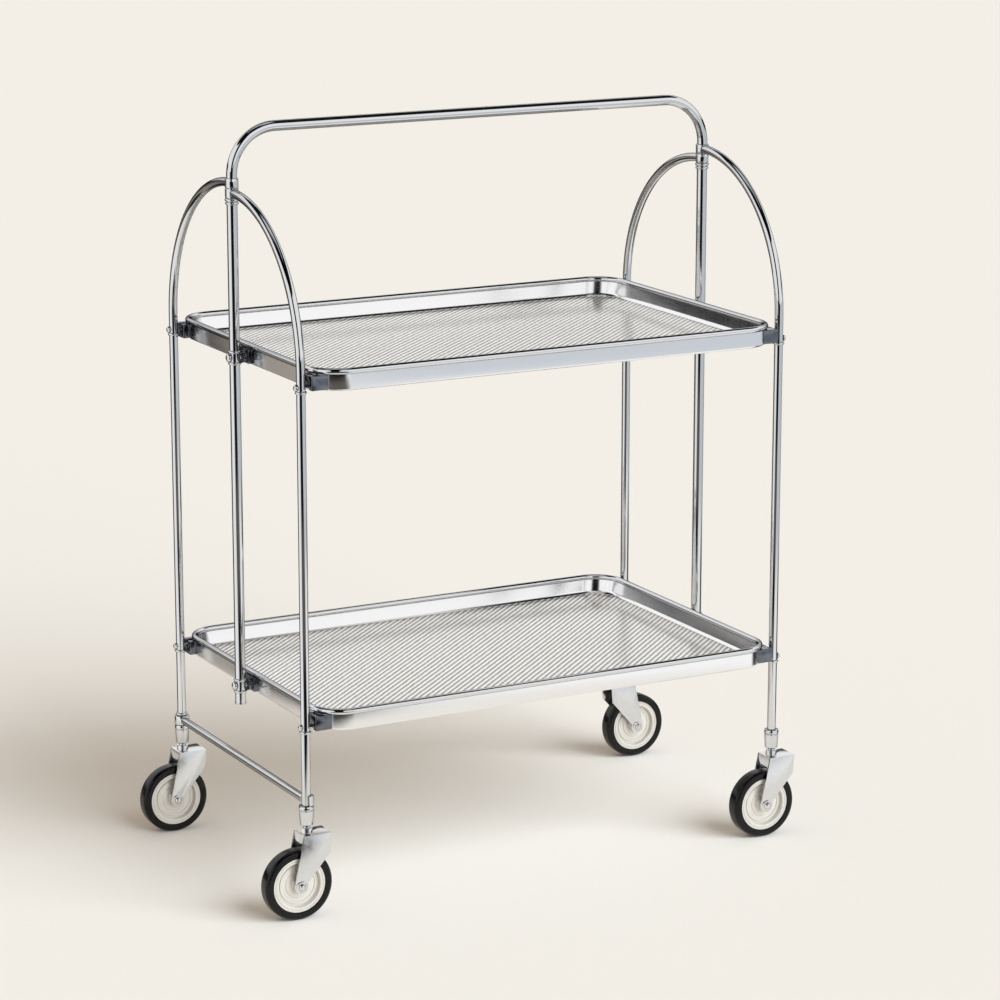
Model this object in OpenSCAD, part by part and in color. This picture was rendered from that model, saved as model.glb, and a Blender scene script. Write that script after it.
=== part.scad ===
// Folding two-tray serving cart of chromed tube, on four swivel castors.
// The floor is z = 0, x runs along the trays and the front is -y.
// Folding: the trays tip on the posts, the halves of both bows swing out on the posts.

/* [Handle frame] */
// Distance from post to post
post_gap = 600; // [480:10:760]
// Height of the handle bar's middle over the top of the bows
handle_rise = 65; // [64:1:110]
// Outer diameter of the handle tube
handle_d = 12; // [11:0.5:13]
// Wall of the handle tube
handle_wall = 1.5; // [1:0.1:2]
// Radius of the two bends of the handle
handle_bend = 52; // [40:1:52]
// How far each post reaches below the lower pivot
post_tail = 20; // [14:1:30]

/* [Bows] */
// Distance from front leg to rear leg
leg_gap = 344; // [300:2:380]
// Outer diameter of the bow tube
bow_d = 10; // [9:0.5:10.5]
// Wall of the bow tube
bow_wall = 1.2; // [0.8:0.1:1.6]
// Height at which the two knuckles of a bow meet
bow_z = 784; // [770:1:785]
// Outer diameter of the knuckles on the posts
knuckle_d = 15; // [14.5:0.5:18]
// Height of one knuckle
knuckle_h = 11; // [11:0.5:12]
// Width of the thin rings on the tubes
ring_wall = 1.5; // [1:0.1:1.5]
// Height of the thin rings on the tubes
ring_h = 3; // [2:0.5:3.5]

/* [Trays] */
// Height of the upper tray's pivots
upper_z = 596; // [560:1:600]
// Height of the lower tray's pivots
lower_z = 220; // [218:1:230]
// Distance from the end of a tray's rolled rim to the middle of the posts
tray_side = 11; // [10.5:0.5:13]
// Depth of a tray over its rolled rim
tray_w = 390; // [386:1:396]
// Height of a tray
tray_h = 25; // [24:0.5:27]
// Radius of the tray's corners
tray_corner = 36; // [34:1:42]
// Thickness of the tray's sheet
tray_wall = 1.5; // [1:0.1:2]
// Height of a tray's pivots over its underside
pivot_h = 8; // [7.5:0.5:9]
// Diameter of the rolled rim
rim_d = 7; // [6:0.5:7]
// Thickness of the ribbed sheet in a tray
insert_t = 1; // [0.8:0.1:2]

/* [Fittings] */
// Diameter of the pivot pins of the trays
pin_d = 6; // [5:0.5:7]
// Diameter of the studs that hold the trays to the legs
stud_d = 5; // [4:0.5:5]
// How far the rear studs are over the pivots, and the front ones under them
stud_off = 3.5; // [3:0.25:4]
// Width of a tray's leg bracket
bracket_w = 22; // [20:0.5:24]
// Height of a tray's brackets
bracket_h = 16; // [15:0.5:17]
// Diameter of the round boss on a tray's pivot bracket
boss_d = 14; // [12:0.5:15]
// Diameter of the stay between the left legs
stay_d = 9; // [8:0.5:10]

/* [Castors] */
// Diameter of the wheels
wheel_d = 80; // [70:1:82]
// Width of the tyre
tyre_w = 19; // [16:0.5:20]
// Thickness of the tyre's rubber
tyre_t = 9; // [7:0.5:10]
// How far the axle trails behind the stem
trail = 13; // [10:0.5:16]
// Width of the fork over its cheeks
fork_w = 27; // [25:0.5:30]
// Length of the fork's top
fork_len = 33; // [30:0.5:36]
// Height of the fork's top
fork_z = 97; // [95:0.5:98]
// Thickness of the fork's plate
fork_t = 2; // [1.5:0.1:2.5]
// Diameter of the stem
stem_d = 8; // [6:0.5:8]
// Diameter of the axle
axle_d = 5; // [4:0.5:6]
// Height of the lower end of the castor cups
cup_z = 105; // [104.5:0.5:107]
// Height of the castor cups
cup_h = 23; // [20:0.5:24]
// Diameter of the castor cups at the top
cup_d = 17; // [16:0.5:19]

/* [Hidden] */
$fn = 64;
// Radial play of a running fit, and the gap that parts keep from each other
fit = 0.05;
gap = 0.3;

post_x = post_gap / 2;
handle_r = handle_d / 2;
bow_r = bow_d / 2;
leg_y = leg_gap / 2;
post_foot = lower_z - post_tail;
handle_z = bow_z + handle_rise;
bend_z = handle_z - handle_bend;
cup_seat = cup_z + cup_h / 2;
stud_r = stud_d / 2;
stud_head_r = stud_r + 1.2;
pin_r = pin_d / 2;
rim_r = rim_d / 2;
tray_len = post_gap - 2 * tray_side;

// Outer faces of a tray's wall
wall_x = tray_len / 2 - rim_r;
wall_y = tray_w / 2 - rim_r;
// Top of the brackets, just under the rolled rim, over the pivot
bracket_top = tray_h - pivot_h - rim_d - 0.5;
// Outer ends of the tray's brackets, and the inner ends of studs and pins
bracket_x = post_x - handle_r - ring_wall - gap;
stud_end = bracket_x - 3.7;
pin_end = wall_x + 1.5;

// Stay between the left legs, just above the castor cups
stay_r = stay_d / 2;
stay_eye_r = bow_r + 3.5;
stay_eye_h = stay_d + 2;
stay_z = cup_z + cup_h + gap + stay_eye_h / 2;

// Castor: the heights are over the floor, lengths from the stem
wheel_r = wheel_d / 2;
axle_z = wheel_r;
rim_out = wheel_r - tyre_t;
hub_r = 7;
web_t = 5;
eye_r = 8;
fork_back = 9;
skirt_h = 11;
plate_t = 2.5;

// The handle frame, whose two posts carry everything else

// Line of the handle tube at one radius: bar, two bends and two posts
module handle_line(r, foot) {
    for (s = [0, 1]) mirror([s, 0, 0]) {
        translate([post_x, 0, foot]) cylinder(r = r, h = bend_z - foot);
        translate([post_x - handle_bend, 0, bend_z]) rotate([90, 0, 0])
            rotate_extrude(angle = 90) translate([handle_bend, 0]) circle(r);
    }
    translate([handle_bend - post_x, 0, handle_z]) rotate([0, 90, 0])
        cylinder(r = r, h = post_gap - 2 * handle_bend);
}

module handle() {
    color("silver") difference() {
        handle_line(handle_r, post_foot);
        handle_line(handle_r - handle_wall, post_foot - 1);
        for (z = [upper_z, lower_z]) translate([-post_x - 20, 0, z])
            rotate([0, 90, 0]) cylinder(r = pin_r, h = post_gap + 40);
    }
}

// A thin ring on a tube of radius r, with its underside at z
module tube_ring(r, z, wall = ring_wall, h = ring_h) {
    translate([0, 0, z]) difference() {
        cylinder(r = r + wall, h = h);
        translate([0, 0, -1]) cylinder(r = r, h = h + 2);
    }
}

// Two rings under the knuckles of each bow
module head_rings() {
    top = bow_z - knuckle_h - gap;
    color("silver") for (s = [-1, 1]) translate([s * post_x, 0, 0]) {
        tube_ring(handle_r, top - ring_h, 2);
        tube_ring(handle_r, top - 2 * ring_h - 1);
    }
}

// Rings above and below each pivot of the trays
module post_rings() {
    color("silver") for (s = [-1, 1], z = [upper_z, lower_z]) translate([s * post_x, 0, z]) {
        tube_ring(handle_r, pin_r + 2);
        tube_ring(handle_r, -pin_r - 2 - ring_h);
    }
}

// Low dome on a flat head, along +z from the height of its seat
module dome_head(r, seat) {
    translate([0, 0, seat]) cylinder(r = r, h = 1);
    translate([0, 0, seat + 1]) intersection() {
        cylinder(r = r, h = r);
        translate([0, 0, -0.35 * r]) sphere(r = 1.06 * r);
    }
}

// Pivot pins of one tray: domed head outside, pin through the post into the bracket
module pivots(z) {
    color("silver") for (s = [-1, 1]) translate([s * post_x, 0, z]) rotate([0, s * 90, 0]) {
        dome_head(pin_r + 2, handle_r);
        translate([0, 0, pin_end - post_x]) cylinder(r = pin_r, h = post_x - pin_end + handle_r);
    }
}

// Caps pressed into the lower ends of the posts
module post_caps() {
    color("silver") for (s = [-1, 1]) translate([s * post_x, 0, post_foot]) {
        cylinder(r = handle_r - handle_wall, h = 6);
        translate([0, 0, -2]) cylinder(r = handle_r + 0.5, h = 2);
    }
}

// The trays, which tip on the posts

// Rectangle with round corners, x and y are half its sides
module round_rect(x, y, r) {
    square([2 * x, 2 * (y - r)], center = true);
    square([2 * (x - r), 2 * y], center = true);
    for (i = [-1, 1], j = [-1, 1]) translate([i * (x - r), j * (y - r)]) circle(r);
}

// Outer block of a tray's wall, from its underside up
module tray_block(h = tray_h) {
    linear_extrude(h) round_rect(wall_x, wall_y, tray_corner);
}

// Rolled rim that runs round the tray on the outer face of its wall
module rolled_rim() {
    z = tray_h - rim_r;
    cx = wall_x - tray_corner;
    cy = wall_y - tray_corner;
    for (s = [-1, 1]) {
        translate([-cx, s * wall_y, z]) rotate([0, 90, 0]) cylinder(r = rim_r, h = 2 * cx);
        translate([s * wall_x, cy, z]) rotate([90, 0, 0]) cylinder(r = rim_r, h = 2 * cy);
    }
    for (a = [0, 1, 2, 3]) {
        i = (a == 0 || a == 3) ? 1 : -1;
        j = a < 2 ? 1 : -1;
        translate([i * cx, j * cy, z]) rotate([0, 0, 90 * a]) rotate_extrude(angle = 90)
            translate([tray_corner, 0]) circle(rim_r);
    }
}

// Pressed tray: floor, upright wall and rolled rim
module tray(z) {
    color("gainsboro") translate([0, 0, z - pivot_h]) difference() {
        union() {
            tray_block();
            rolled_rim();
        }
        translate([0, 0, tray_wall]) linear_extrude(tray_h)
            round_rect(wall_x - tray_wall, wall_y - tray_wall, tray_corner - tray_wall);
    }
}

// Ribbed sheet that lies in the tray
module insert(z) {
    edge = tray_wall + 1;
    color("lightgray") translate([0, 0, z - pivot_h + tray_wall])
        linear_extrude(insert_t) round_rect(wall_x - edge, wall_y - edge, tray_corner - edge);
}

// Brackets at the corners of a tray, slotted for the leg studs: the front ones hook over
// their stud, the rear ones hold theirs in a slot that is open at the top
module hooks(z) {
    low = bracket_top - bracket_h;
    root_x = wall_x - tray_corner / 2;
    slot_w = stud_d + 2;
    // lowest point that the slot leaves under a rear stud, and over a front one upside down
    seat_z = stud_off - stud_r - gap;
    color("dimgray") for (i = [-1, 1], j = [-1, 1])
        translate([0, 0, z]) mirror([i < 0 ? 1 : 0, 0, 0]) mirror([0, j < 0 ? 1 : 0, 0])
            difference() {
                translate([root_x, leg_y - bracket_w / 2, low])
                    cube([bracket_x - root_x, bracket_w, bracket_h]);
                translate([0, 0, -pivot_h]) tray_block();
                translate([root_x - 1, leg_y - slot_w / 2, j < 0 ? low - 1 : seat_z])
                    cube([bracket_x - root_x + 2, slot_w, j < 0 ? 1 - low - seat_z : bracket_h]);
            }
}

// Pivot brackets in the middle of a tray's ends: flange and round boss with the pin's bore
module bearings(z) {
    low = bracket_top - bracket_h;
    flange_w = 26;
    color("dimgray") for (s = [-1, 1]) translate([0, 0, z]) mirror([s < 0 ? 1 : 0, 0, 0])
        difference() {
            union() {
                translate([wall_x, -flange_w / 2, low]) cube([rim_r, flange_w, bracket_h]);
                translate([wall_x, 0, 0]) rotate([0, 90, 0])
                    cylinder(r = boss_d / 2, h = bracket_x - wall_x);
            }
            translate([wall_x - 1, 0, 0]) rotate([0, 90, 0])
                cylinder(r = pin_r + fit, h = bracket_x - wall_x + 2);
            translate([wall_x, -flange_w / 2, bracket_top])
                cube([rim_r + gap, flange_w, boss_d / 2]);
        }
}

// The bows: each half swings on its post and ends in a leg

// Moves what follows to the post on side i, and to the front for j < 0
module at_post(i, j) {
    translate([i * post_x, 0, 0]) mirror([0, j < 0 ? 1 : 0, 0]) children();
}

// Height of a stud beside the pivots at z
function stud_z(z, j) = z + j * stud_off;

// Moves what follows to the leg of corner i, j
module at_leg(i, j) {
    translate([i * post_x, j * leg_y, 0]) children();
}

// Level of a knuckle: the front right and rear left halves have the upper ones
function level_of(i, j) = bow_z + (i * j < 0 ? 1 : -1) * knuckle_h / 2;

// One half of a bow: quarter bend and leg in one tube, whose upper end is cut to the knuckle
module bow(i, j) {
    level = level_of(i, j);
    spring_z = level - leg_y;
    color("silver") at_post(i, j) difference() {
        union() {
            translate([0, leg_y, cup_seat]) cylinder(r = bow_r, h = spring_z - cup_seat);
            translate([0, 0, spring_z]) rotate([90, 0, 90])
                rotate_extrude(angle = acos(handle_r / leg_y)) translate([leg_y, 0])
                    circle(bow_r);
        }
        translate([0, leg_y, cup_seat - 1])
            cylinder(r = bow_r - bow_wall, h = spring_z - cup_seat + 1);
        translate([0, 0, spring_z]) rotate([90, 0, 90])
            rotate_extrude(angle = acos(knuckle_d / leg_y)) translate([leg_y, 0])
                circle(bow_r - bow_wall);
        translate([0, 0, level - knuckle_h]) cylinder(r = knuckle_d / 2, h = 2 * knuckle_h);
        for (z = [upper_z, lower_z]) translate([-bow_d, leg_y, stud_z(z, j)])
            rotate([0, 90, 0]) cylinder(r = stud_r, h = 2 * bow_d);
    }
}

// Knuckle that turns on the post, brazed to the end of a bow's half
module knuckle(i, j) {
    color("silver") at_post(i, j) translate([0, 0, level_of(i, j) - (knuckle_h - gap) / 2])
        difference() {
            cylinder(r = knuckle_d / 2, h = knuckle_h - gap);
            translate([0, 0, -1]) cylinder(r = handle_r + fit, h = knuckle_h + 2);
        }
}

// Studs through the leg at both trays, with a domed head on the outer side
module studs(i, j) {
    reach = post_x - stud_end;
    color("silver") at_leg(i, j) for (z = [upper_z, lower_z])
        translate([0, 0, stud_z(z, j)]) rotate([0, i * 90, 0]) {
            dome_head(stud_head_r, bow_r);
            translate([0, 0, -reach]) cylinder(r = stud_r, h = reach + bow_r);
        }
}

// Rings on the leg under each stud, and one more above the eye of the stay
module rings(i, j, stay_ring = false) {
    color("silver") at_leg(i, j) {
        for (z = [upper_z, lower_z]) tube_ring(bow_r, stud_z(z, j) - stud_head_r - gap - ring_h);
        if (stay_ring) tube_ring(bow_r, stay_z + stay_eye_h / 2 + gap);
    }
}

// Turned cup on the leg's end: the leg sits in its upper half, the stem turns in its lower
module cup(i, j) {
    r = cup_d / 2;
    color("silver") at_leg(i, j) difference() {
        translate([0, 0, cup_z]) rotate_extrude() polygon([[0, 0], [r - 2.5, 0], [r - 1.2, 2],
            [r - 0.4, cup_h - 7], [r - 0.4, cup_h - 6], [r - 1, cup_h - 5.5], [r - 1, cup_h - 5],
            [r, cup_h - 4], [r, cup_h - 1], [r - 1, cup_h], [0, cup_h]]);
        translate([0, 0, cup_z - 1]) cylinder(r = stem_d / 2 + fit, h = cup_seat - cup_z + 2);
        translate([0, 0, cup_seat]) cylinder(r = bow_r, h = cup_h);
    }
}

// The castors: a pressed fork on a stem, an axle, a wheel and its tyre.
// The rear right one is turned the other way.
module at_castor(i, j) {
    at_leg(i, j) rotate([0, 0, i > 0 && j > 0 ? 180 : 0]) children();
}

// Outline of a cheek, seen from the side, in x and z
module cheek_outline() {
    difference() {
        union() {
            polygon([[-fork_back, fork_z], [fork_len - fork_back, fork_z],
                [fork_len - fork_back - 1.5, fork_z - 22], [-trail + eye_r - 0.6, axle_z + 3],
                [-trail - eye_r, axle_z]]);
            translate([-trail, axle_z]) circle(eye_r);
        }
        translate([-trail, axle_z]) circle(axle_d / 2);
    }
}

module fork(i, j) {
    color("silver") at_castor(i, j) {
        for (s = [-1, 1]) translate([0, s > 0 ? fork_w / 2 : fork_t - fork_w / 2, 0])
            rotate([90, 0, 0]) linear_extrude(fork_t) cheek_outline();
        translate([-fork_back, -fork_w / 2, fork_z - plate_t]) cube([fork_len, fork_w, plate_t]);
        translate([-fork_back, -fork_w / 2, fork_z - skirt_h]) cube([fork_t, fork_w, skirt_h]);
        translate([0, 0, fork_z]) cylinder(r = stem_d / 2 + 2.5, h = cup_z - fork_z - 2);
        translate([0, 0, fork_z]) cylinder(r = stem_d / 2, h = cup_seat - gap - fork_z);
    }
}

// Moves what follows to the axle, with z along it
module at_axle(i, j) {
    at_castor(i, j) translate([-trail, 0, axle_z]) rotate([90, 0, 0]) children();
}

module axle(i, j) {
    half = fork_w / 2;
    color("silver") at_axle(i, j) {
        translate([0, 0, -half]) cylinder(r = axle_d / 2, h = fork_w);
        for (s = [0, 1]) mirror([0, 0, s]) {
            translate([0, 0, half]) cylinder(r = 6, h = 0.8);
            dome_head(axle_d / 2 + 1.5, half + 0.8);
        }
    }
}

// Pressed wheel: hub tube, stepped web and the rim that the tyre grips
module wheel(i, j) {
    hub_h = fork_w / 2 - fork_t - gap;
    color("white") at_axle(i, j) rotate_extrude() difference() {
        union() {
            translate([0, -hub_h]) square([hub_r, 2 * hub_h]);
            translate([0, -web_t / 2]) square([rim_out, web_t]);
            translate([0, -web_t]) square([rim_out * 0.55, 2 * web_t]);
            translate([rim_out * 0.8, -tyre_w / 2 + 2]) square([rim_out * 0.2, tyre_w - 4]);
        }
        translate([-1, -hub_h - 1]) square([1 + axle_d / 2 + fit, 2 * hub_h + 2]);
    }
}

// Solid rubber tyre with round shoulders
module tyre(i, j) {
    shoulder = 4.5;
    half = tyre_w / 2;
    color("black") at_axle(i, j) rotate_extrude() {
        translate([rim_out, -half]) square([tyre_t - shoulder, tyre_w]);
        translate([rim_out, shoulder - half]) square([tyre_t, tyre_w - 2 * shoulder]);
        for (s = [-1, 1]) translate([wheel_r - shoulder, s * (half - shoulder)]) circle(shoulder);
    }
}

// Stay between the left legs: an eye turns on the rear leg, an open saddle meets the front leg
module stay() {
    saddle_r = bow_r + gap;
    color("silver") translate([-post_x, 0, stay_z]) difference() {
        union() {
            translate([0, leg_y, 0]) rotate([90, 0, 0])
                cylinder(r = stay_r, h = leg_gap - saddle_r - 0.2);
            translate([0, leg_y, -stay_eye_h / 2]) cylinder(r = stay_eye_r, h = stay_eye_h);
            translate([0, -leg_y, -stay_eye_h / 2]) intersection() {
                cylinder(r = stay_eye_r, h = stay_eye_h);
                translate([0, -20, 0]) cube([20, 40, stay_eye_h]);
            }
        }
        translate([0, leg_y, -stay_d]) cylinder(r = bow_r + fit, h = 2 * stay_d);
        translate([0, -leg_y, -stay_d]) cylinder(r = saddle_r, h = 2 * stay_d);
    }
}

handle();
head_rings();
post_rings();
pivots(upper_z);  // upper_pivots
pivots(lower_z);  // lower_pivots
post_caps();
tray(upper_z);  // upper_tray
insert(upper_z);  // upper_insert
hooks(upper_z);  // upper_hooks
bearings(upper_z);  // upper_bearings
tray(lower_z);  // lower_tray
insert(lower_z);  // lower_insert
hooks(lower_z);  // lower_hooks
bearings(lower_z);  // lower_bearings
bow(-1, -1);  // bow_fl
knuckle(-1, -1);  // knuckle_fl
studs(-1, -1);  // studs_fl
rings(-1, -1);  // rings_fl
cup(-1, -1);  // cup_fl
fork(-1, -1);  // fork_fl
axle(-1, -1);  // axle_fl
wheel(-1, -1);  // wheel_fl
tyre(-1, -1);  // tyre_fl
bow(1, -1);  // bow_fr
knuckle(1, -1);  // knuckle_fr
studs(1, -1);  // studs_fr
rings(1, -1);  // rings_fr
cup(1, -1);  // cup_fr
fork(1, -1);  // fork_fr
axle(1, -1);  // axle_fr
wheel(1, -1);  // wheel_fr
tyre(1, -1);  // tyre_fr
bow(-1, 1);  // bow_rl
knuckle(-1, 1);  // knuckle_rl
studs(-1, 1);  // studs_rl
rings(-1, 1, true);  // rings_rl
cup(-1, 1);  // cup_rl
fork(-1, 1);  // fork_rl
axle(-1, 1);  // axle_rl
wheel(-1, 1);  // wheel_rl
tyre(-1, 1);  // tyre_rl
bow(1, 1);  // bow_rr
knuckle(1, 1);  // knuckle_rr
studs(1, 1);  // studs_rr
rings(1, 1);  // rings_rr
cup(1, 1);  // cup_rr
fork(1, 1);  // fork_rr
axle(1, 1);  // axle_rr
wheel(1, 1);  // wheel_rr
tyre(1, 1);  // tyre_rr
stay();
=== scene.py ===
import math

import bmesh
import bpy
from mathutils import Matrix, Vector


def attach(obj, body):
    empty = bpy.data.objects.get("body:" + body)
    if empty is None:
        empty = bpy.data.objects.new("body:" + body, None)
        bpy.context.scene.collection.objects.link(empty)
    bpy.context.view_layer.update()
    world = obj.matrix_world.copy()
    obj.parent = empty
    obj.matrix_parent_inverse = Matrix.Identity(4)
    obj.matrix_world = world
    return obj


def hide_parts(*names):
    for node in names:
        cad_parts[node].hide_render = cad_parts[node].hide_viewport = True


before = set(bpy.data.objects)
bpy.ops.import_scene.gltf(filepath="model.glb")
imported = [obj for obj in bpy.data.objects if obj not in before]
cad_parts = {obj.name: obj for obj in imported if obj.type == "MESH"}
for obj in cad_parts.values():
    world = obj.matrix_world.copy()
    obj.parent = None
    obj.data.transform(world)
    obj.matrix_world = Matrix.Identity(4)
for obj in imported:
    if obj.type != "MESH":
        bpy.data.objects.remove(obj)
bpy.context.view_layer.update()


# Handle and posts: one steel tube, 12 mm thick, bent round at both top corners and chrome
# plated. The posts run down to just under the lower tray and carry all the rest.
post_x, post_foot = 300, 200
handle_z, handle_bend, handle_r = 849, 52, 6


def linear(hex_colour):
    """sRGB hex colour as Blender's linear colour."""
    parts = [int(hex_colour[i:i + 2], 16) / 255 for i in (1, 3, 5)]
    return [c / 12.92 if c <= 0.04045 else ((c + 0.055) / 1.055) ** 2.4 for c in parts] + [1]


def add(tree, kind, inputs, **settings):
    """Adds one node: inputs are values or other nodes' outputs, settings its properties."""
    node = tree.nodes.new(kind)
    for name, value in settings.items():
        setattr(node, name, value)
    for name, value in inputs.items():
        if isinstance(value, bpy.types.NodeSocket):
            tree.links.new(value, node.inputs[name])
        else:
            node.inputs[name].default_value = value
    return node


def new_finish(name):
    """An empty material, its node tree and its object coordinates."""
    finish = bpy.data.materials.new(name)
    finish.use_nodes = True
    tree = finish.node_tree
    tree.nodes.clear()
    where = add(tree, "ShaderNodeTexCoord", {})
    return finish, tree, where.outputs["Object"]


def rough_range(tree, pattern, low, high):
    """Turns a pattern of 0 to 1 into a roughness between low and high."""
    return add(tree, "ShaderNodeMapRange", {"Value": pattern, "From Min": 0.3, "From Max": 0.7,
                                            "To Min": low, "To Max": high}).outputs["Result"]


# Bright chrome plate over polished steel: a mirror with faint hand smears about 25 mm wide
# and hairlines from polishing, so that its highlights break up a little. The tint darkens
# it where it is seen at a grazing angle, darker than chrome is: painted dark edges.
chrome, tree, at = new_finish("bright_chrome_plate")
smears = add(tree, "ShaderNodeTexNoise", {"Vector": at, "Scale": 40, "Detail": 3})
hairlines = add(tree, "ShaderNodeTexNoise", {"Vector": at, "Scale": 900, "Detail": 2})
ripple = add(tree, "ShaderNodeBump", {"Height": hairlines.outputs["Fac"], "Strength": 0.04,
                                      "Distance": 0.0002})
shader = add(tree, "ShaderNodeBsdfPrincipled", {
    "Base Color": linear("#DEDFE0"), "Metallic": 1, "Specular Tint": linear("#6C6C6E"),
    "Roughness": rough_range(tree, smears.outputs["Fac"], 0.03, 0.08),
    "Normal": ripple.outputs["Normal"]})
add(tree, "ShaderNodeOutputMaterial", {"Surface": shader.outputs["BSDF"]})


def finish_piece(bm, name, body, slot, finish, *stands_for):
    """Makes the bmesh, drawn in mm, a piece that rides on its body."""
    bmesh.ops.remove_doubles(bm, verts=bm.verts, dist=0.002)
    bmesh.ops.recalc_face_normals(bm, faces=bm.faces)
    bmesh.ops.scale(bm, verts=bm.verts, vec=(0.001, 0.001, 0.001))
    mesh = bpy.data.meshes.new(name)
    bm.to_mesh(mesh)
    bm.free()
    mesh.shade_smooth()
    mesh.set_sharp_from_angle(angle=math.radians(32))
    mesh.materials.append(finish)
    piece = bpy.data.objects.new(name, mesh)
    bpy.context.scene.collection.objects.link(piece)
    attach(piece, body)
    if stands_for:
        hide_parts(*stands_for)


def tube_start(bm, radius, place, along, sides=32):
    """Closed round end of a tube at a place, facing along; gives the rim to draw on."""
    turn = Vector((0, 0, 1)).rotation_difference(Vector(along)).to_matrix().to_4x4()
    made = bmesh.ops.create_circle(bm, cap_ends=True, radius=radius, segments=sides,
                                   matrix=Matrix.Translation(place) @ turn)
    return list({e for v in made["verts"] for e in v.link_edges})


def tube_push(bm, rim, way):
    """Draws the tube on along a straight line."""
    made = bmesh.ops.extrude_edge_only(bm, edges=rim)["geom"]
    verts = [g for g in made if isinstance(g, bmesh.types.BMVert)]
    bmesh.ops.translate(bm, verts=verts, vec=way)
    return [e for e in {e for v in verts for e in v.link_edges}
            if all(v in verts for v in e.verts)]


def tube_bend(bm, rim, centre, axis, degrees, steps=20):
    """Draws the tube on round a centre."""
    verts = list({v for e in rim for v in e.verts})
    last = bmesh.ops.spin(bm, geom=verts + rim, cent=centre, axis=axis, dvec=(0, 0, 0),
                          angle=math.radians(degrees), steps=steps)["geom_last"]
    return [g for g in last if isinstance(g, bmesh.types.BMEdge)]


bm = bmesh.new()
bend_z = handle_z - handle_bend
rim = tube_start(bm, handle_r, (-post_x, 0, post_foot), (0, 0, 1), sides=40)
rim = tube_push(bm, rim, (0, 0, bend_z - post_foot))
rim = tube_bend(bm, rim, (handle_bend - post_x, 0, bend_z), (0, 1, 0), 90)
rim = tube_push(bm, rim, (2 * (post_x - handle_bend), 0, 0))
rim = tube_bend(bm, rim, (post_x - handle_bend, 0, bend_z), (0, 1, 0), 90)
rim = tube_push(bm, rim, (0, 0, post_foot - bend_z))
bmesh.ops.holes_fill(bm, edges=rim)
finish_piece(bm, "handle_tube", "frame", "frame_chrome", chrome, "handle")


# Post fittings: turned and chromed rings that are pressed on the posts, two under the
# knuckles and one above and below each tray pivot, and a low cap in each post's foot.
bow_z, knuckle_h, knuckle_gap = 784, 11, 0.3
upper_z, lower_z = 596, 220
pin_r = 3
ring_r, ring_h, ring_gap = 7.5, 3, 2
plug_r, plug_h, cap_r = 4.4, 6, 6.5


def lathe(bm, outline, centre, axis, start, sides=48):
    """Turns an outline of (radius, height) points round an axis through centre."""
    centre, axis, start = Vector(centre), Vector(axis), Vector(start)
    verts = [bm.verts.new(centre + r * start + h * axis) for r, h in outline]
    edges = [bm.edges.new(pair) for pair in zip(verts, verts[1:])]
    bmesh.ops.spin(bm, geom=verts + edges, cent=centre, axis=axis, dvec=(0, 0, 0),
                   angle=2 * math.pi, steps=sides, use_merge=True)


def ring_outline(inner, outer, low, high, round_off):
    """Section of a ring whose outer edges are rounded."""
    corner = [(math.cos(math.radians(a)), math.sin(math.radians(a))) for a in (0, 30, 60, 90)]
    top = [(outer - round_off + round_off * c, high - round_off + round_off * s)
           for c, s in corner]
    foot = [(r, low + high - h) for r, h in reversed(top)]
    return [(inner, low)] + foot + top + [(inner, high), (inner, low)]


bm = bmesh.new()
knuckle_foot = bow_z - knuckle_h - knuckle_gap
for side in (-1, 1):
    post = (side * post_x, 0, 0)
    rings = [(ring_r + 0.5, knuckle_foot - ring_h), (ring_r, knuckle_foot - 2 * ring_h - 1)]
    rings += [(ring_r, z + off) for z in (upper_z, lower_z)
              for off in (pin_r + ring_gap, -pin_r - ring_gap - ring_h)]
    for outer, low in rings:
        lathe(bm, ring_outline(handle_r, outer, low, low + ring_h, round_off=1.2), post,
              (0, 0, 1), (1, 0, 0))
finish_piece(bm, "post_ring_set", "frame", "fitting_chrome", chrome, "head_rings", "post_rings")

bm = bmesh.new()
for side in (-1, 1):
    lathe(bm, [(0, plug_h), (plug_r, plug_h), (plug_r, 0), (cap_r, 0), (cap_r, -1.2),
               (cap_r - 0.4, -1.8), (cap_r - 1.5, -2), (0, -2)],
          (side * post_x, 0, post_foot), (0, 0, 1), (1, 0, 0))
finish_piece(bm, "post_foot_caps", "frame", "fitting_chrome", chrome, "post_caps")


# Rivets: domed steel heads outside the tubes, chromed with them. The big ones are the
# pivots of the trays, which pass through the posts into the trays' brackets.
pin_head, pin_reach = 5, 13


def rivet(bm, centre, way, head_r, shank_r, seat, reach):
    """Rivet along way: its head sits on the tube at seat, its shank reaches back inwards."""
    edge_t, dome_h = 1, 0.66 * head_r
    turns = [math.radians(a) for a in range(0, 91, 15)]
    dome = [(head_r * math.cos(a), seat + edge_t + dome_h * math.sin(a)) for a in turns]
    lathe(bm, [(0, -reach), (shank_r, -reach), (shank_r, seat), (head_r - 0.3, seat),
               (head_r, seat + 0.3)] + dome, centre, way, (0, 1, 0), sides=32)


for name, z in (("upper", upper_z), ("lower", lower_z)):
    bm = bmesh.new()
    for side in (-1, 1):
        rivet(bm, (side * post_x, 0, z), (side, 0, 0), pin_head, pin_r, handle_r, pin_reach)
    finish_piece(bm, name + "_pivot_rivets", "frame", "fitting_chrome", chrome, name + "_pivots")


# Bows: each arched end is two halves of 10 mm chromed steel tube. A half ends in a knuckle
# that turns on the post, and its other end is the straight leg down to the castor's cup.
# The bend stops short of 90 degrees, inside the knuckle.
leg_y, bow_r, bow_turn = 172, 5, 87.8
cup_seat = 116.5
corners = {"fl": (-1, -1), "fr": (1, -1), "rl": (-1, 1), "rr": (1, 1)}

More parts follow.
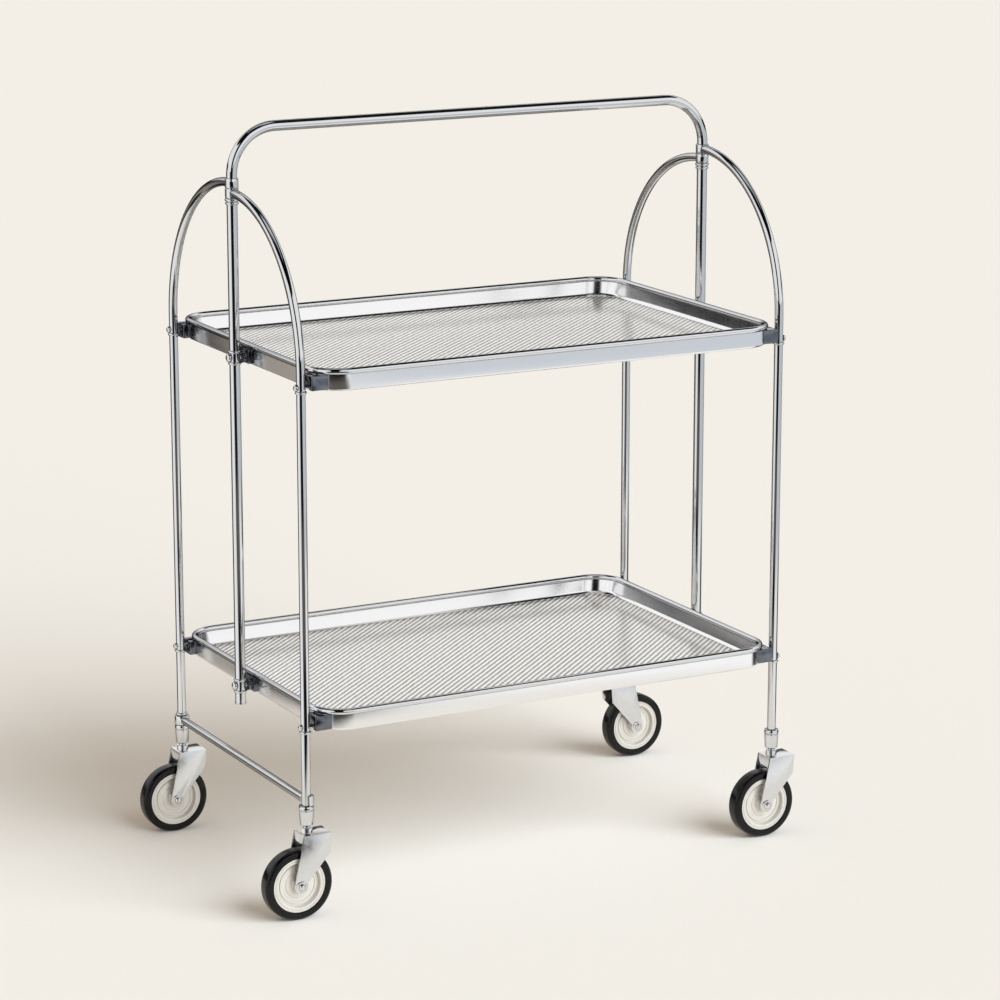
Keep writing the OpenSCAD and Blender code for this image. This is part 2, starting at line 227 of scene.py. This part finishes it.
for corner, (i, j) in corners.items():
    level = bow_z + (knuckle_h / 2 if i * j < 0 else -knuckle_h / 2)
    spring_z = level - leg_y
    bm = bmesh.new()
    rim = tube_start(bm, bow_r, (i * post_x, j * leg_y, cup_seat), (0, 0, 1))
    rim = tube_push(bm, rim, (0, 0, spring_z - cup_seat))
    rim = tube_bend(bm, rim, (i * post_x, 0, spring_z), (j, 0, 0), bow_turn, steps=40)
    bmesh.ops.holes_fill(bm, edges=rim)
    half_h = (knuckle_h - knuckle_gap) / 2
    lathe(bm, ring_outline(handle_r + 0.05, ring_r, level - half_h, level + half_h,
                           round_off=0.8), (i * post_x, 0, 0), (0, 0, 1), (1, 0, 0))
    finish_piece(bm, "bow_half_" + corner, "half_" + corner, "frame_chrome", chrome,
                 "bow_" + corner, "knuckle_" + corner)


# Leg fittings: a rivet through the leg at each tray, whose shank carries the tray, and a
# pressed ring under it. The rear rivets sit a little higher on the trays than the front ones.
# One more ring on the rear left leg keeps the stay's eye down.
stud_r, stud_head, stud_reach, stud_off = 2.5, 3.7, 11.5, 3.5
leg_ring_r, leg_ring_drop, stay_ring_z = 6.5, 7, 139.6
for corner, (i, j) in corners.items():
    bm = bmesh.new()
    for z in (upper_z, lower_z):
        rivet(bm, (i * post_x, j * leg_y, z + j * stud_off), (i, 0, 0), stud_head, stud_r, bow_r,
              stud_reach)
    finish_piece(bm, "leg_rivets_" + corner, "half_" + corner, "fitting_chrome", chrome,
                 "studs_" + corner)
    bm = bmesh.new()
    lows = [z + j * stud_off - leg_ring_drop for z in (upper_z, lower_z)]
    lows += [stay_ring_z] if corner == "rl" else []
    for low in lows:
        lathe(bm, ring_outline(bow_r, leg_ring_r, low, low + ring_h, round_off=1.1),
              (i * post_x, j * leg_y, 0), (0, 0, 1), (1, 0, 0))
    finish_piece(bm, "leg_rings_" + corner, "half_" + corner, "fitting_chrome", chrome,
                 "rings_" + corner)


# Cups: a turned and chromed cup on the foot of each leg. The leg sits in its upper half and
# the castor's stem turns in the lower one.
cup_z, cup_h, stem_bore = 105, 23, 4.05
leg_seat = cup_seat - cup_z
for corner, (i, j) in corners.items():
    bm = bmesh.new()
    lathe(bm, [(stem_bore, 0.6), (4.6, 0), (5.6, 0), (6.6, 0.6), (7.3, 2), (8.1, 16), (8.1, 17),
               (7.5, 17.5), (7.5, 18), (8.5, 19), (8.5, 21.6), (8.1, 22.6), (7.4, cup_h),
               (5.6, cup_h), (bow_r, cup_h - 0.6), (bow_r, leg_seat), (stem_bore, leg_seat),
               (stem_bore, 0.6)],
          (i * post_x, j * leg_y, cup_z), (0, 0, 1), (1, 0, 0))
    finish_piece(bm, "castor_cup_" + corner, "half_" + corner, "fitting_chrome", chrome,
                 "cup_" + corner)


# Trays: pressed from one sheet of bright aluminium, 578 by 390 mm, with a wall that ends in
# a rolled rim 7 mm thick. The rim is polished, the wall has the fine lines of rolled sheet.
# Inside, the wall leans outwards by its draft and meets the floor in a round.
tray_len, tray_w, tray_h, tray_corner = 578, 390, 25, 36
rim_r, wall_t, pivot_h = 3.5, 1.5, 8
wall_draft, floor_round, foot_round = 3.6, 5, 2.5
wall_x, wall_y = tray_len / 2 - rim_r, tray_w / 2 - rim_r

# Bright rolled aluminium: rolling lines about 1 mm apart along the sheet, shown by the
# roughness and a faint bump, and slightly dull patches 60 mm wide.
aluminium, tree, at = new_finish("bright_rolled_aluminium")
drawn = add(tree, "ShaderNodeMapping", {"Vector": at, "Scale": (8, 8, 900)})
lines = add(tree, "ShaderNodeTexNoise", {"Vector": drawn.outputs["Vector"], "Scale": 1,
                                         "Detail": 3})
patches = add(tree, "ShaderNodeTexNoise", {"Vector": at, "Scale": 16, "Detail": 2})
blend = add(tree, "ShaderNodeMath", {0: lines.outputs["Fac"], 1: patches.outputs["Fac"], 2: 0.25},
            operation="MULTIPLY_ADD")
grain = add(tree, "ShaderNodeBump", {"Height": lines.outputs["Fac"], "Strength": 0.03,
                                     "Distance": 0.0002})
shader = add(tree, "ShaderNodeBsdfPrincipled", {
    "Base Color": linear("#F5F5F6"), "Metallic": 1,
    "Roughness": rough_range(tree, blend.outputs["Value"], 0.12, 0.19),
    "Normal": grain.outputs["Normal"]})
add(tree, "ShaderNodeOutputMaterial", {"Surface": shader.outputs["BSDF"]})

# Polished aluminium of the rolled rim: smoother than the wall, a mirror with faint smears
# about 20 mm wide, tinted at grazing angles like the chrome: painted dark edges.
polished, tree, at = new_finish("polished_aluminium_rim")
smears = add(tree, "ShaderNodeTexNoise", {"Vector": at, "Scale": 55, "Detail": 3})
shader = add(tree, "ShaderNodeBsdfPrincipled", {
    "Base Color": linear("#E2E3E5"), "Metallic": 1, "Specular Tint": linear("#6C6C6E"),
    "Roughness": rough_range(tree, smears.outputs["Fac"], 0.05, 0.11)})
add(tree, "ShaderNodeOutputMaterial", {"Surface": shader.outputs["BSDF"]})


def round_sheet(bm, x, y, z, radius):
    """Flat rectangle with round corners; x and y are half its sides."""
    made = bmesh.ops.create_grid(bm, x_segments=1, y_segments=1, size=1)
    verts = made["verts"]
    bmesh.ops.scale(bm, verts=verts, vec=(x, y, 1))
    bmesh.ops.translate(bm, verts=verts, vec=(0, 0, z))
    bmesh.ops.bevel(bm, geom=verts, offset=radius, offset_type="OFFSET", segments=10,
                    profile=0.5, affect="VERTICES", material=-1)


def rolled_rim(bm, x, y, z, radius, corner):
    """Round bead that runs once round a tray."""
    cx, cy = x - corner, y - corner
    rim = tube_start(bm, radius, (-cx, -y, z), (1, 0, 0), sides=20)
    cap = [f for f in bm.faces if all(e in rim for e in f.edges)]
    bmesh.ops.delete(bm, geom=cap, context="FACES_ONLY")
    for way, centre in (((2 * cx, 0, 0), (cx, -cy, z)), ((0, 2 * cy, 0), (cx, cy, z)),
                        ((-2 * cx, 0, 0), (-cx, cy, z)), ((0, -2 * cy, 0), (-cx, -cy, z))):
        rim = tube_push(bm, rim, way)
        rim = tube_bend(bm, rim, centre, (0, 0, 1), 90, steps=12)


def lift(bm, faces, height):
    """Draws faces straight up, and gives the faces at the new height."""
    made = bmesh.ops.extrude_face_region(bm, geom=faces)["geom"]
    bmesh.ops.translate(bm, verts=[g for g in made if isinstance(g, bmesh.types.BMVert)],
                        vec=(0, 0, height))
    return [g for g in made if isinstance(g, bmesh.types.BMFace)]


def round_edges(bm, height, radius, segments):
    """Rounds all the edges that lie at one height."""
    edges = [e for e in bm.edges if all(abs(v.co.z - height) < 0.01 for v in e.verts)
             and len(e.link_faces) == 2]
    bmesh.ops.bevel(bm, geom=edges, offset=radius, segments=segments, profile=0.5,
                    affect="EDGES", material=-1)


for name, pivot_z in (("upper", upper_z), ("lower", lower_z)):
    under = pivot_z - pivot_h
    bm = bmesh.new()
    round_sheet(bm, wall_x, wall_y, under, tray_corner)
    top = lift(bm, list(bm.faces), tray_h - rim_r)
    bmesh.ops.inset_region(bm, faces=top, thickness=wall_t, depth=0)
    inside = [f for f in top if f.is_valid]
    well = lift(bm, inside, wall_t - tray_h + rim_r)
    draft = (1 - wall_draft / wall_x, 1 - wall_draft / wall_y, 1)
    bmesh.ops.scale(bm, verts=list({v for f in well for v in f.verts}), vec=draft)
    bmesh.ops.delete(bm, geom=[f for f in inside if f.is_valid and f not in well],
                     context="FACES_ONLY")
    round_edges(bm, under + wall_t, floor_round, segments=5)
    round_edges(bm, under, foot_round, segments=4)
    finish_piece(bm, name + "_tray_pan", name + "_shelf", "tray_aluminium", aluminium,
                 name + "_tray")
    bm = bmesh.new()
    rolled_rim(bm, wall_x, wall_y, under + tray_h - rim_r, rim_r, tray_corner)
    finish_piece(bm, name + "_rolled_rim", name + "_shelf", "tray_aluminium", polished)


# Ribbed sheets: a thin sheet of aluminium lies in each tray. It is embossed with fine
# straight ribs that run slantwise from the front left to the rear right.
rib_pitch, sheet_inset, sheet_t = 6.2, 5.5, 1

# Embossed aluminium: ribs at 42 degrees, not quite even, drawn 6.2 mm apart so that they show.
# Painted light on the rib tops and painted shade, dark and warm, in the grooves; the grooves
# are also duller, with a bump between.
# Fine scratches scatter part of the light, so the sheet is only partly a mirror.
ribbed, tree, at = new_finish("embossed_aluminium_sheet")
turned = add(tree, "ShaderNodeMapping", {"Vector": at, "Rotation": (0, 0, math.radians(-42))})
ribs = add(tree, "ShaderNodeTexWave", {"Vector": turned.outputs["Vector"],
                                       "Scale": math.pi / 10 / (rib_pitch / 1000),
                                       "Distortion": 0.9, "Detail": 1, "Detail Scale": 4},
           bands_direction="Y")
# Rib tops painted light and grooves painted dark: painted light and shade of the ribs.
tops = add(tree, "ShaderNodeMapRange", {"Value": ribs.outputs["Fac"], "From Min": 0.25,
                                        "From Max": 0.6})
tone = add(tree, "ShaderNodeMix", {"Factor": tops.outputs["Result"], "A": linear("#8E8982"),
                                   "B": linear("#F1EEE9")}, data_type="RGBA")
relief = add(tree, "ShaderNodeBump", {"Height": ribs.outputs["Fac"], "Strength": 0.12,
                                      "Distance": 0.0006})
shader = add(tree, "ShaderNodeBsdfPrincipled", {
    "Base Color": tone.outputs["Result"], "Metallic": 0.4,
    "Roughness": rough_range(tree, ribs.outputs["Fac"], 0.24, 0.12),
    "Normal": relief.outputs["Normal"]})
add(tree, "ShaderNodeOutputMaterial", {"Surface": shader.outputs["BSDF"]})

for name, pivot_z in (("upper", upper_z), ("lower", lower_z)):
    bm = bmesh.new()
    round_sheet(bm, wall_x - sheet_inset, wall_y - sheet_inset, pivot_z - pivot_h + wall_t,
                tray_corner - sheet_inset)
    lift(bm, list(bm.faces), sheet_t)
    finish_piece(bm, name + "_ribbed_sheet", name + "_shelf", "ribbed_sheet", ribbed,
                 name + "_insert")


# Brackets: steel pressings, coloured dark grey as painted shade, that are riveted under the rim,
# hooks over the front studs, forks under the rear ones, and the round bearings of the pivots.

# Bracket steel: a shiny metal, dark grey as painted shade under the rim, whose tone also
# wanders in mottles about 8 mm wide.
shaded_bracket_finish, tree, at = new_finish("bracket_steel_with_painted_shade")
mottle = add(tree, "ShaderNodeTexNoise", {"Vector": at, "Scale": 120, "Detail": 4})
tone = add(tree, "ShaderNodeMix", {"Factor": mottle.outputs["Fac"], "A": linear("#54585E"),
                                   "B": linear("#858A92")}, data_type="RGBA")
shader = add(tree, "ShaderNodeBsdfPrincipled", {
    "Base Color": tone.outputs["Result"], "Metallic": 1,
    "Roughness": rough_range(tree, mottle.outputs["Fac"], 0.09, 0.2)})
add(tree, "ShaderNodeOutputMaterial", {"Surface": shader.outputs["BSDF"]})


def soften(node, name, body, slot, finish, radius):
    """Stands for a CAD node with its own shape, its sharp edges rounded as pressing does."""
    bm = bmesh.new()
    bm.from_mesh(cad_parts[node].data)
    bmesh.ops.scale(bm, verts=bm.verts, vec=(1000, 1000, 1000))
    bmesh.ops.remove_doubles(bm, verts=bm.verts, dist=0.005)
    bmesh.ops.dissolve_limit(bm, angle_limit=math.radians(1), verts=bm.verts, edges=bm.edges,
                             delimit=set())
    sharp = [e for e in bm.edges if len(e.link_faces) == 2
             and e.calc_face_angle() > math.radians(35)]
    bmesh.ops.bevel(bm, geom=sharp, offset=radius, segments=3, profile=0.5, affect="EDGES",
                    clamp_overlap=True, material=-1)
    finish_piece(bm, name, body, slot, finish, node)


for tray in ("upper", "lower"):
    soften(tray + "_hooks", tray + "_leg_brackets", tray + "_shelf", "bracket_steel",
           shaded_bracket_finish, radius=1.6)
    soften(tray + "_bearings", tray + "_pivot_brackets", tray + "_shelf", "bracket_steel",
           shaded_bracket_finish, radius=0.6)


# Stay: a chromed tube low down between the two left legs. It is brazed to an eye that turns on
# the rear leg, and to an open saddle that rests against the front one.
stay_r, stay_z = 4.5, 133.8
eye_r, eye_h, eye_bore, saddle_bore = 8.5, 11, bow_r + 0.05, bow_r + 0.3
stay_rear, stay_front = leg_y - 6, 5.5 - leg_y
eye_low, eye_high = stay_z - eye_h / 2, stay_z + eye_h / 2
bm = bmesh.new()
rim = tube_start(bm, stay_r, (-post_x, stay_rear, stay_z), (0, -1, 0))
rim = tube_push(bm, rim, (0, stay_front - stay_rear, 0))
bmesh.ops.holes_fill(bm, edges=rim)
lathe(bm, ring_outline(eye_bore, eye_r, eye_low, eye_high, round_off=1), (-post_x, leg_y, 0),
      (0, 0, 1), (1, 0, 0))
saddle = ring_outline(saddle_bore, eye_r, eye_low, eye_high, round_off=1)[:-1]
face = bm.faces.new([bm.verts.new((-post_x, -leg_y - r, h)) for r, h in saddle])
bmesh.ops.spin(bm, geom=[face] + list(face.edges) + list(face.verts), cent=(-post_x, -leg_y, 0),
               axis=(0, 0, 1), dvec=(0, 0, 0), angle=math.pi, steps=24)
finish_piece(bm, "stay_tube", "stay", "frame_chrome", chrome, "stay")


# Castor forks: each is folded from 2 mm steel sheet and zinc plated: two cheeks, a top plate
# and a short apron at the back, with a turned stem. The axle has a pressed washer at each end.
trail, wheel_r, fork_w, axle_bore = 13, 40, 27, 2.55

# Bright zinc plate: a slightly satin metal with a fine mottle about 6 mm wide.
zinc, tree, at = new_finish("bright_zinc_plate")
mottle = add(tree, "ShaderNodeTexNoise", {"Vector": at, "Scale": 160, "Detail": 4})
tone = add(tree, "ShaderNodeMix", {"Factor": mottle.outputs["Fac"], "A": linear("#DCDDDF"),
                                   "B": linear("#E8E9EA")}, data_type="RGBA")
shader = add(tree, "ShaderNodeBsdfPrincipled", {
    "Base Color": tone.outputs["Result"], "Metallic": 1,
    "Roughness": rough_range(tree, mottle.outputs["Fac"], 0.12, 0.2)})
add(tree, "ShaderNodeOutputMaterial", {"Surface": shader.outputs["BSDF"]})

hubs = {corner: (i * post_x + (trail if corner == "rr" else -trail), j * leg_y, wheel_r)
        for corner, (i, j) in corners.items()}
for corner, (x, y, z) in hubs.items():
    for metal, radius in (("fork_", 0.5), ("axle_", 0.2)):
        soften(metal + corner, "castor_" + metal + corner, "castor_" + corner, "castor_zinc",
               zinc, radius)
    bm = bmesh.new()
    for side in (-1, 1):
        lathe(bm, [(axle_bore, 0), (6.4, 0), (6.4, 0.8), (5.8, 1.4), (4.6, 1.4), (4.3, 1),
                   (axle_bore, 1), (axle_bore, 0)],
              (x, y + side * fork_w / 2, z), (0, side, 0), (1, 0, 0), sides=32)
    finish_piece(bm, "axle_washers_" + corner, "castor_" + corner, "castor_zinc", zinc)


# Wheels: a pressed steel disc with a stepped web and a hub tube, sprayed with cream lacquer.
# The lacquer holds a fine metal pigment, so it shines partly like metal under its clear coat.
cream, tree, at = new_finish("cream_pearl_lacquer")
flow = add(tree, "ShaderNodeTexNoise", {"Vector": at, "Scale": 90, "Detail": 2})
wave = add(tree, "ShaderNodeBump", {"Height": flow.outputs["Fac"], "Strength": 0.05,
                                    "Distance": 0.0004})
shader = add(tree, "ShaderNodeBsdfPrincipled", {
    "Base Color": linear("#D6D1C9"), "Metallic": 0.45, "Coat Weight": 0.6, "Coat Roughness": 0.05,
    "Roughness": rough_range(tree, flow.outputs["Fac"], 0.16, 0.24),
    "Normal": wave.outputs["Normal"]})
add(tree, "ShaderNodeOutputMaterial", {"Surface": shader.outputs["BSDF"]})


def both_sides(half):
    """Closed section of a wheel from the half on one side of its middle."""
    return half + [(r, -h) for r, h in reversed(half)] + half[:1]


for corner, hub in hubs.items():
    bm = bmesh.new()
    sleeve = [(axle_bore, 11.2), (6.4, 11.2), (7, 10.6), (7, 6), (8, 5)]
    web = [(14.6, 4.8), (15.6, 3.7), (19.4, 3.4), (20.2, 4.4), (21.8, 4.4), (22.6, 3.1), (24.4, 3)]
    flange = [(25.4, 7.3), (26.2, 7.9), (28, 7.9), (28.6, 7.3), (29.2, 8), (30.9, 8)]
    lathe(bm, both_sides(sleeve + web + flange), hub, (0, 1, 0), (1, 0, 0), sides=64)
    finish_piece(bm, "wheel_disc_" + corner, "roller_" + corner, "wheel_disc", cream,
                 "wheel_" + corner)


# Tyres: solid black rubber, moulded in one piece and stretched over the rim of the wheel.
tyre_half, shoulder_r = 9.5, 4.5

# Moulded black rubber: smooth, with fine pores and a roughness that wanders with wear.
rubber, tree, at = new_finish("moulded_black_rubber")
skin = add(tree, "ShaderNodeTexNoise", {"Vector": at, "Scale": 700, "Detail": 3})
dust = add(tree, "ShaderNodeTexNoise", {"Vector": at, "Scale": 60, "Detail": 3})
pores = add(tree, "ShaderNodeBump", {"Height": skin.outputs["Fac"], "Strength": 0.15,
                                     "Distance": 0.0003})
shader = add(tree, "ShaderNodeBsdfPrincipled", {
    "Base Color": linear("#050506"), "Metallic": 0, "Specular IOR Level": 0.3,
    "Roughness": rough_range(tree, dust.outputs["Fac"], 0.16, 0.26),
    "Normal": pores.outputs["Normal"]})
add(tree, "ShaderNodeOutputMaterial", {"Surface": shader.outputs["BSDF"]})
for corner, hub in hubs.items():
    bm = bmesh.new()
    turns = [math.radians(a) for a in range(90, -1, -15)]
    shoulder = [(wheel_r - shoulder_r + shoulder_r * math.cos(a),
                 tyre_half - shoulder_r + shoulder_r * math.sin(a)) for a in turns]
    half = [(31, 8.6), (31.6, 9.4), (33, tyre_half)] + shoulder
    lathe(bm, both_sides(half), hub, (0, 1, 0), (1, 0, 0), sides=72)
    finish_piece(bm, "solid_tyre_" + corner, "roller_" + corner, "tyre_rubber", rubber,
                 "tyre_" + corner)


# Studio: a pale warm floor that catches the shadows, a pale world round it, and one broad soft
# lamp at the front right. Only the metal's mirror sees the studio's flags: black ones behind and
# over the camera, at the far sides and low at the rear, a taupe belt on the floor and a grey one.
# The floor glows with its part of them for mirror rays alone: painted reflections, and in the
# belts painted shade.
# They lie by the camera's direction, which is turned 28 degrees from +Y.
backdrop, camera_turn = "#F2EDE5", 28


def depth_axes(tree, way):
    """Parts of a direction: X to the camera's right, Y along its view and Z up."""
    turned = add(tree, "ShaderNodeMapping", {"Vector": way,
                                             "Rotation": (0, 0, math.radians(camera_turn))})
    flat = add(tree, "ShaderNodeVectorMath", {0: turned.outputs["Vector"]}, operation="NORMALIZE")
    return add(tree, "ShaderNodeSeparateXYZ", {"Vector": flat.outputs["Vector"]}).outputs


def flag_bands(tree, part, tones):
    """Bright and dark bands that lie at heights of -1 to 1 along one part of a direction."""
    place = add(tree, "ShaderNodeMapRange", {"Value": part, "From Min": -1, "From Max": 1})
    ramp = add(tree, "ShaderNodeValToRGB", {"Fac": place.outputs["Result"]})
    stops = ramp.color_ramp.elements
    while len(stops) < len(tones):
        stops.new(0.5)
    for stop, (spot, tone) in zip(stops, tones):
        stop.position = (spot + 1) / 2
        stop.color = linear(tone)
    return ramp.outputs["Color"]


# Studio paper: matt and warm. Beyond 0.68 to 0.86 m from the cart's middle, and for mirror rays
# alone, it gives way to a glow of the flags, whose tones are laid out by direction: a painted
# reflection.
paper, tree, at = new_finish("studio_paper_and_painted_reflections")
shader = add(tree, "ShaderNodeBsdfPrincipled", {"Base Color": linear(backdrop), "Roughness": 0.9,
                                                "Specular IOR Level": 0})
length = add(tree, "ShaderNodeVectorMath", {0: at}, operation="LENGTH").outputs["Value"]
clear = add(tree, "ShaderNodeMapRange", {"Value": length, "From Min": 0.68, "From Max": 0.86})
axes = depth_axes(tree, at)
flags = flag_bands(tree, axes["Y"], [
    (-1, "#141517"), (-0.91, "#1E1F22"), (-0.83, "#E9ECEF"), (-0.68, "#FFFFFF"), (0, "#FFFFFF"),
    (0.12, "#232323"), (0.32, "#2C2B2B"), (0.42, "#A8A198"), (0.56, "#9A938A"), (0.62, "#242323"),
    (0.80, "#2A2928"), (0.87, backdrop)])

# The taupe belt lies 1.25 to 2.3 m away, in the middle towards the camera and a little to its
# right. The grey one starts at 1.45 m, farther round to the right. Both are painted shade on the
# floor, seen only in the metal's mirror.
middle = add(tree, "ShaderNodeMapRange", {"Value": axes["Y"], "From Min": -0.8, "From Max": -0.9})
right = add(tree, "ShaderNodeMapRange", {"Value": axes["X"], "From Min": 0.1, "From Max": 0.25})
front = add(tree, "ShaderNodeMapRange", {"Value": axes["X"], "From Min": 0.62, "From Max": 0.52})
aside = add(tree, "ShaderNodeMath", {0: right.outputs["Result"], 1: front.outputs["Result"]},
            operation="MULTIPLY")
beyond = add(tree, "ShaderNodeMapRange", {"Value": length, "From Min": 1.25, "From Max": 1.45,
                                          "To Max": 0.8})
within = add(tree, "ShaderNodeMapRange", {"Value": length, "From Min": 2.3, "From Max": 2.1})
sides = add(tree, "ShaderNodeMath", {0: middle.outputs["Result"], 1: aside.outputs["Value"]},
            operation="MAXIMUM")
belt = add(tree, "ShaderNodeMath", {0: beyond.outputs["Result"], 1: within.outputs["Result"]},
           operation="MULTIPLY")
belt_painted_shade = add(tree, "ShaderNodeMath", {0: sides.outputs["Value"], 1: belt.outputs["Value"]},
            operation="MULTIPLY")
flags_and_belt_shade = add(tree, "ShaderNodeMix", {"Factor": belt_painted_shade.outputs["Value"], "A": flags,
                                     "B": linear("#6E6861")}, data_type="RGBA")
distant = add(tree, "ShaderNodeMapRange", {"Value": length, "From Min": 1.45, "From Max": 1.8})
abeam = add(tree, "ShaderNodeMapRange", {"Value": axes["X"], "From Min": 0.6, "From Max": 0.7})
shade = add(tree, "ShaderNodeMath", {0: distant.outputs["Result"], 1: abeam.outputs["Result"]},
            operation="MULTIPLY")
shaded = add(tree, "ShaderNodeMix", {"Factor": shade.outputs["Value"],
                                     "A": flags_and_belt_shade.outputs["Result"], "B": linear("#CDD3D9")},
             data_type="RGBA")
# The floor's glow for mirror rays: a painted reflection of the flags and the belts' painted shade.
painted_reflection = add(tree, "ShaderNodeEmission", {"Color": shaded.outputs["Result"]})
path = add(tree, "ShaderNodeLightPath", {})
painted_reflection_mask = add(tree, "ShaderNodeMath", {0: path.outputs["Is Glossy Ray"],
                                       1: clear.outputs["Result"]}, operation="MULTIPLY")
mix = add(tree, "ShaderNodeMixShader", {0: painted_reflection_mask.outputs["Value"], 1: shader.outputs["BSDF"],
                                        2: painted_reflection.outputs["Emission"]})
add(tree, "ShaderNodeOutputMaterial", {"Surface": mix.outputs["Shader"]})

floor_r = 40
bm = bmesh.new()
bmesh.ops.create_circle(bm, cap_ends=True, radius=floor_r, segments=96)
mesh = bpy.data.meshes.new("studio_floor")
bm.to_mesh(mesh)
bm.free()
mesh.materials.append(paper)
floor = bpy.data.objects.new("studio_floor", mesh)
bpy.context.scene.collection.objects.link(floor)

# World: the backdrop's tone to the camera, a warm fill light on the part, and the flags to the
# metal's mirror: by height over and opposite the camera, by side behind it.
world = bpy.data.worlds.new("studio_world")
bpy.context.scene.world = world
world.use_nodes = True
tree = world.node_tree
tree.nodes.clear()
path = add(tree, "ShaderNodeLightPath", {})
way = add(tree, "ShaderNodeTexCoord", {})
seen = add(tree, "ShaderNodeBackground", {"Color": linear(backdrop), "Strength": 1})
fill = add(tree, "ShaderNodeBackground", {"Color": (1, 0.88, 0.76, 1), "Strength": 0.46})
axes = depth_axes(tree, way.outputs["Generated"])
over_camera = flag_bands(tree, axes["Z"], [(0.66, "#FFFFFF"), (0.7, "#151617"),
                                           (0.92, "#151617"), (0.95, "#C9CDD2")])
opposite = flag_bands(tree, axes["Z"], [(-0.02, backdrop), (0.01, "#242323"), (0.13, "#242323"),
                                        (0.17, "#FFFFFF"), (0.66, "#FFFFFF"),
                                        (0.7, "#151617"), (0.92, "#151617"),
                                        (0.95, "#C9CDD2")])
behind_camera = flag_bands(tree, axes["X"], [(-0.34, "#FFFFFF"), (-0.24, "#101112"),
                                             (0.16, "#101112"), (0.26, "#FFFFFF")])
both = add(tree, "ShaderNodeMix", {"Factor": 1, "A": over_camera, "B": behind_camera},
           data_type="RGBA", blend_type="MULTIPLY")
away = add(tree, "ShaderNodeMapRange", {"Value": axes["Y"], "From Min": -0.15, "From Max": 0.05})
flags = add(tree, "ShaderNodeMix", {"Factor": away.outputs["Result"],
                                    "A": both.outputs["Result"], "B": opposite},
            data_type="RGBA")
mirror = add(tree, "ShaderNodeBackground", {"Color": flags.outputs["Result"]})
pick = add(tree, "ShaderNodeMixShader", {0: path.outputs["Is Glossy Ray"],
                                         1: fill.outputs["Background"],
                                         2: mirror.outputs["Background"]})
last = add(tree, "ShaderNodeMixShader", {0: path.outputs["Is Camera Ray"],
                                         1: pick.outputs["Shader"],
                                         2: seen.outputs["Background"]})
add(tree, "ShaderNodeOutputWorld", {"Surface": last.outputs["Shader"]})

# Lamp: one broad, slightly cool source, like a big softbox. The metal's mirror doesn't see it.
lamp = bpy.data.lights.new("soft_lamp", "SUN")
lamp.energy = 4.45
lamp.color = (0.83, 0.92, 1)
lamp.angle = math.radians(56)
sun = bpy.data.objects.new("soft_lamp", lamp)
sun.rotation_euler = (math.radians(62), 0, math.radians(24.2))
sun.visible_glossy = False
bpy.context.scene.collection.objects.link(sun)

# Camera: a long lens a little above the handle, fitted to the photo.
lens = bpy.data.cameras.new("photo_camera")
lens.sensor_width = 36
lens.lens = 126.0
lens.clip_end = 100
camera = bpy.data.objects.new("photo_camera", lens)
camera.location = (-1.833, -3.481, 1.330)
camera.rotation_euler = (math.radians(90 - 13.29), 0, math.radians(-28.18))
bpy.context.scene.collection.objects.link(camera)
bpy.context.scene.camera = camera
bpy.context.scene.view_settings.view_transform = "Standard"
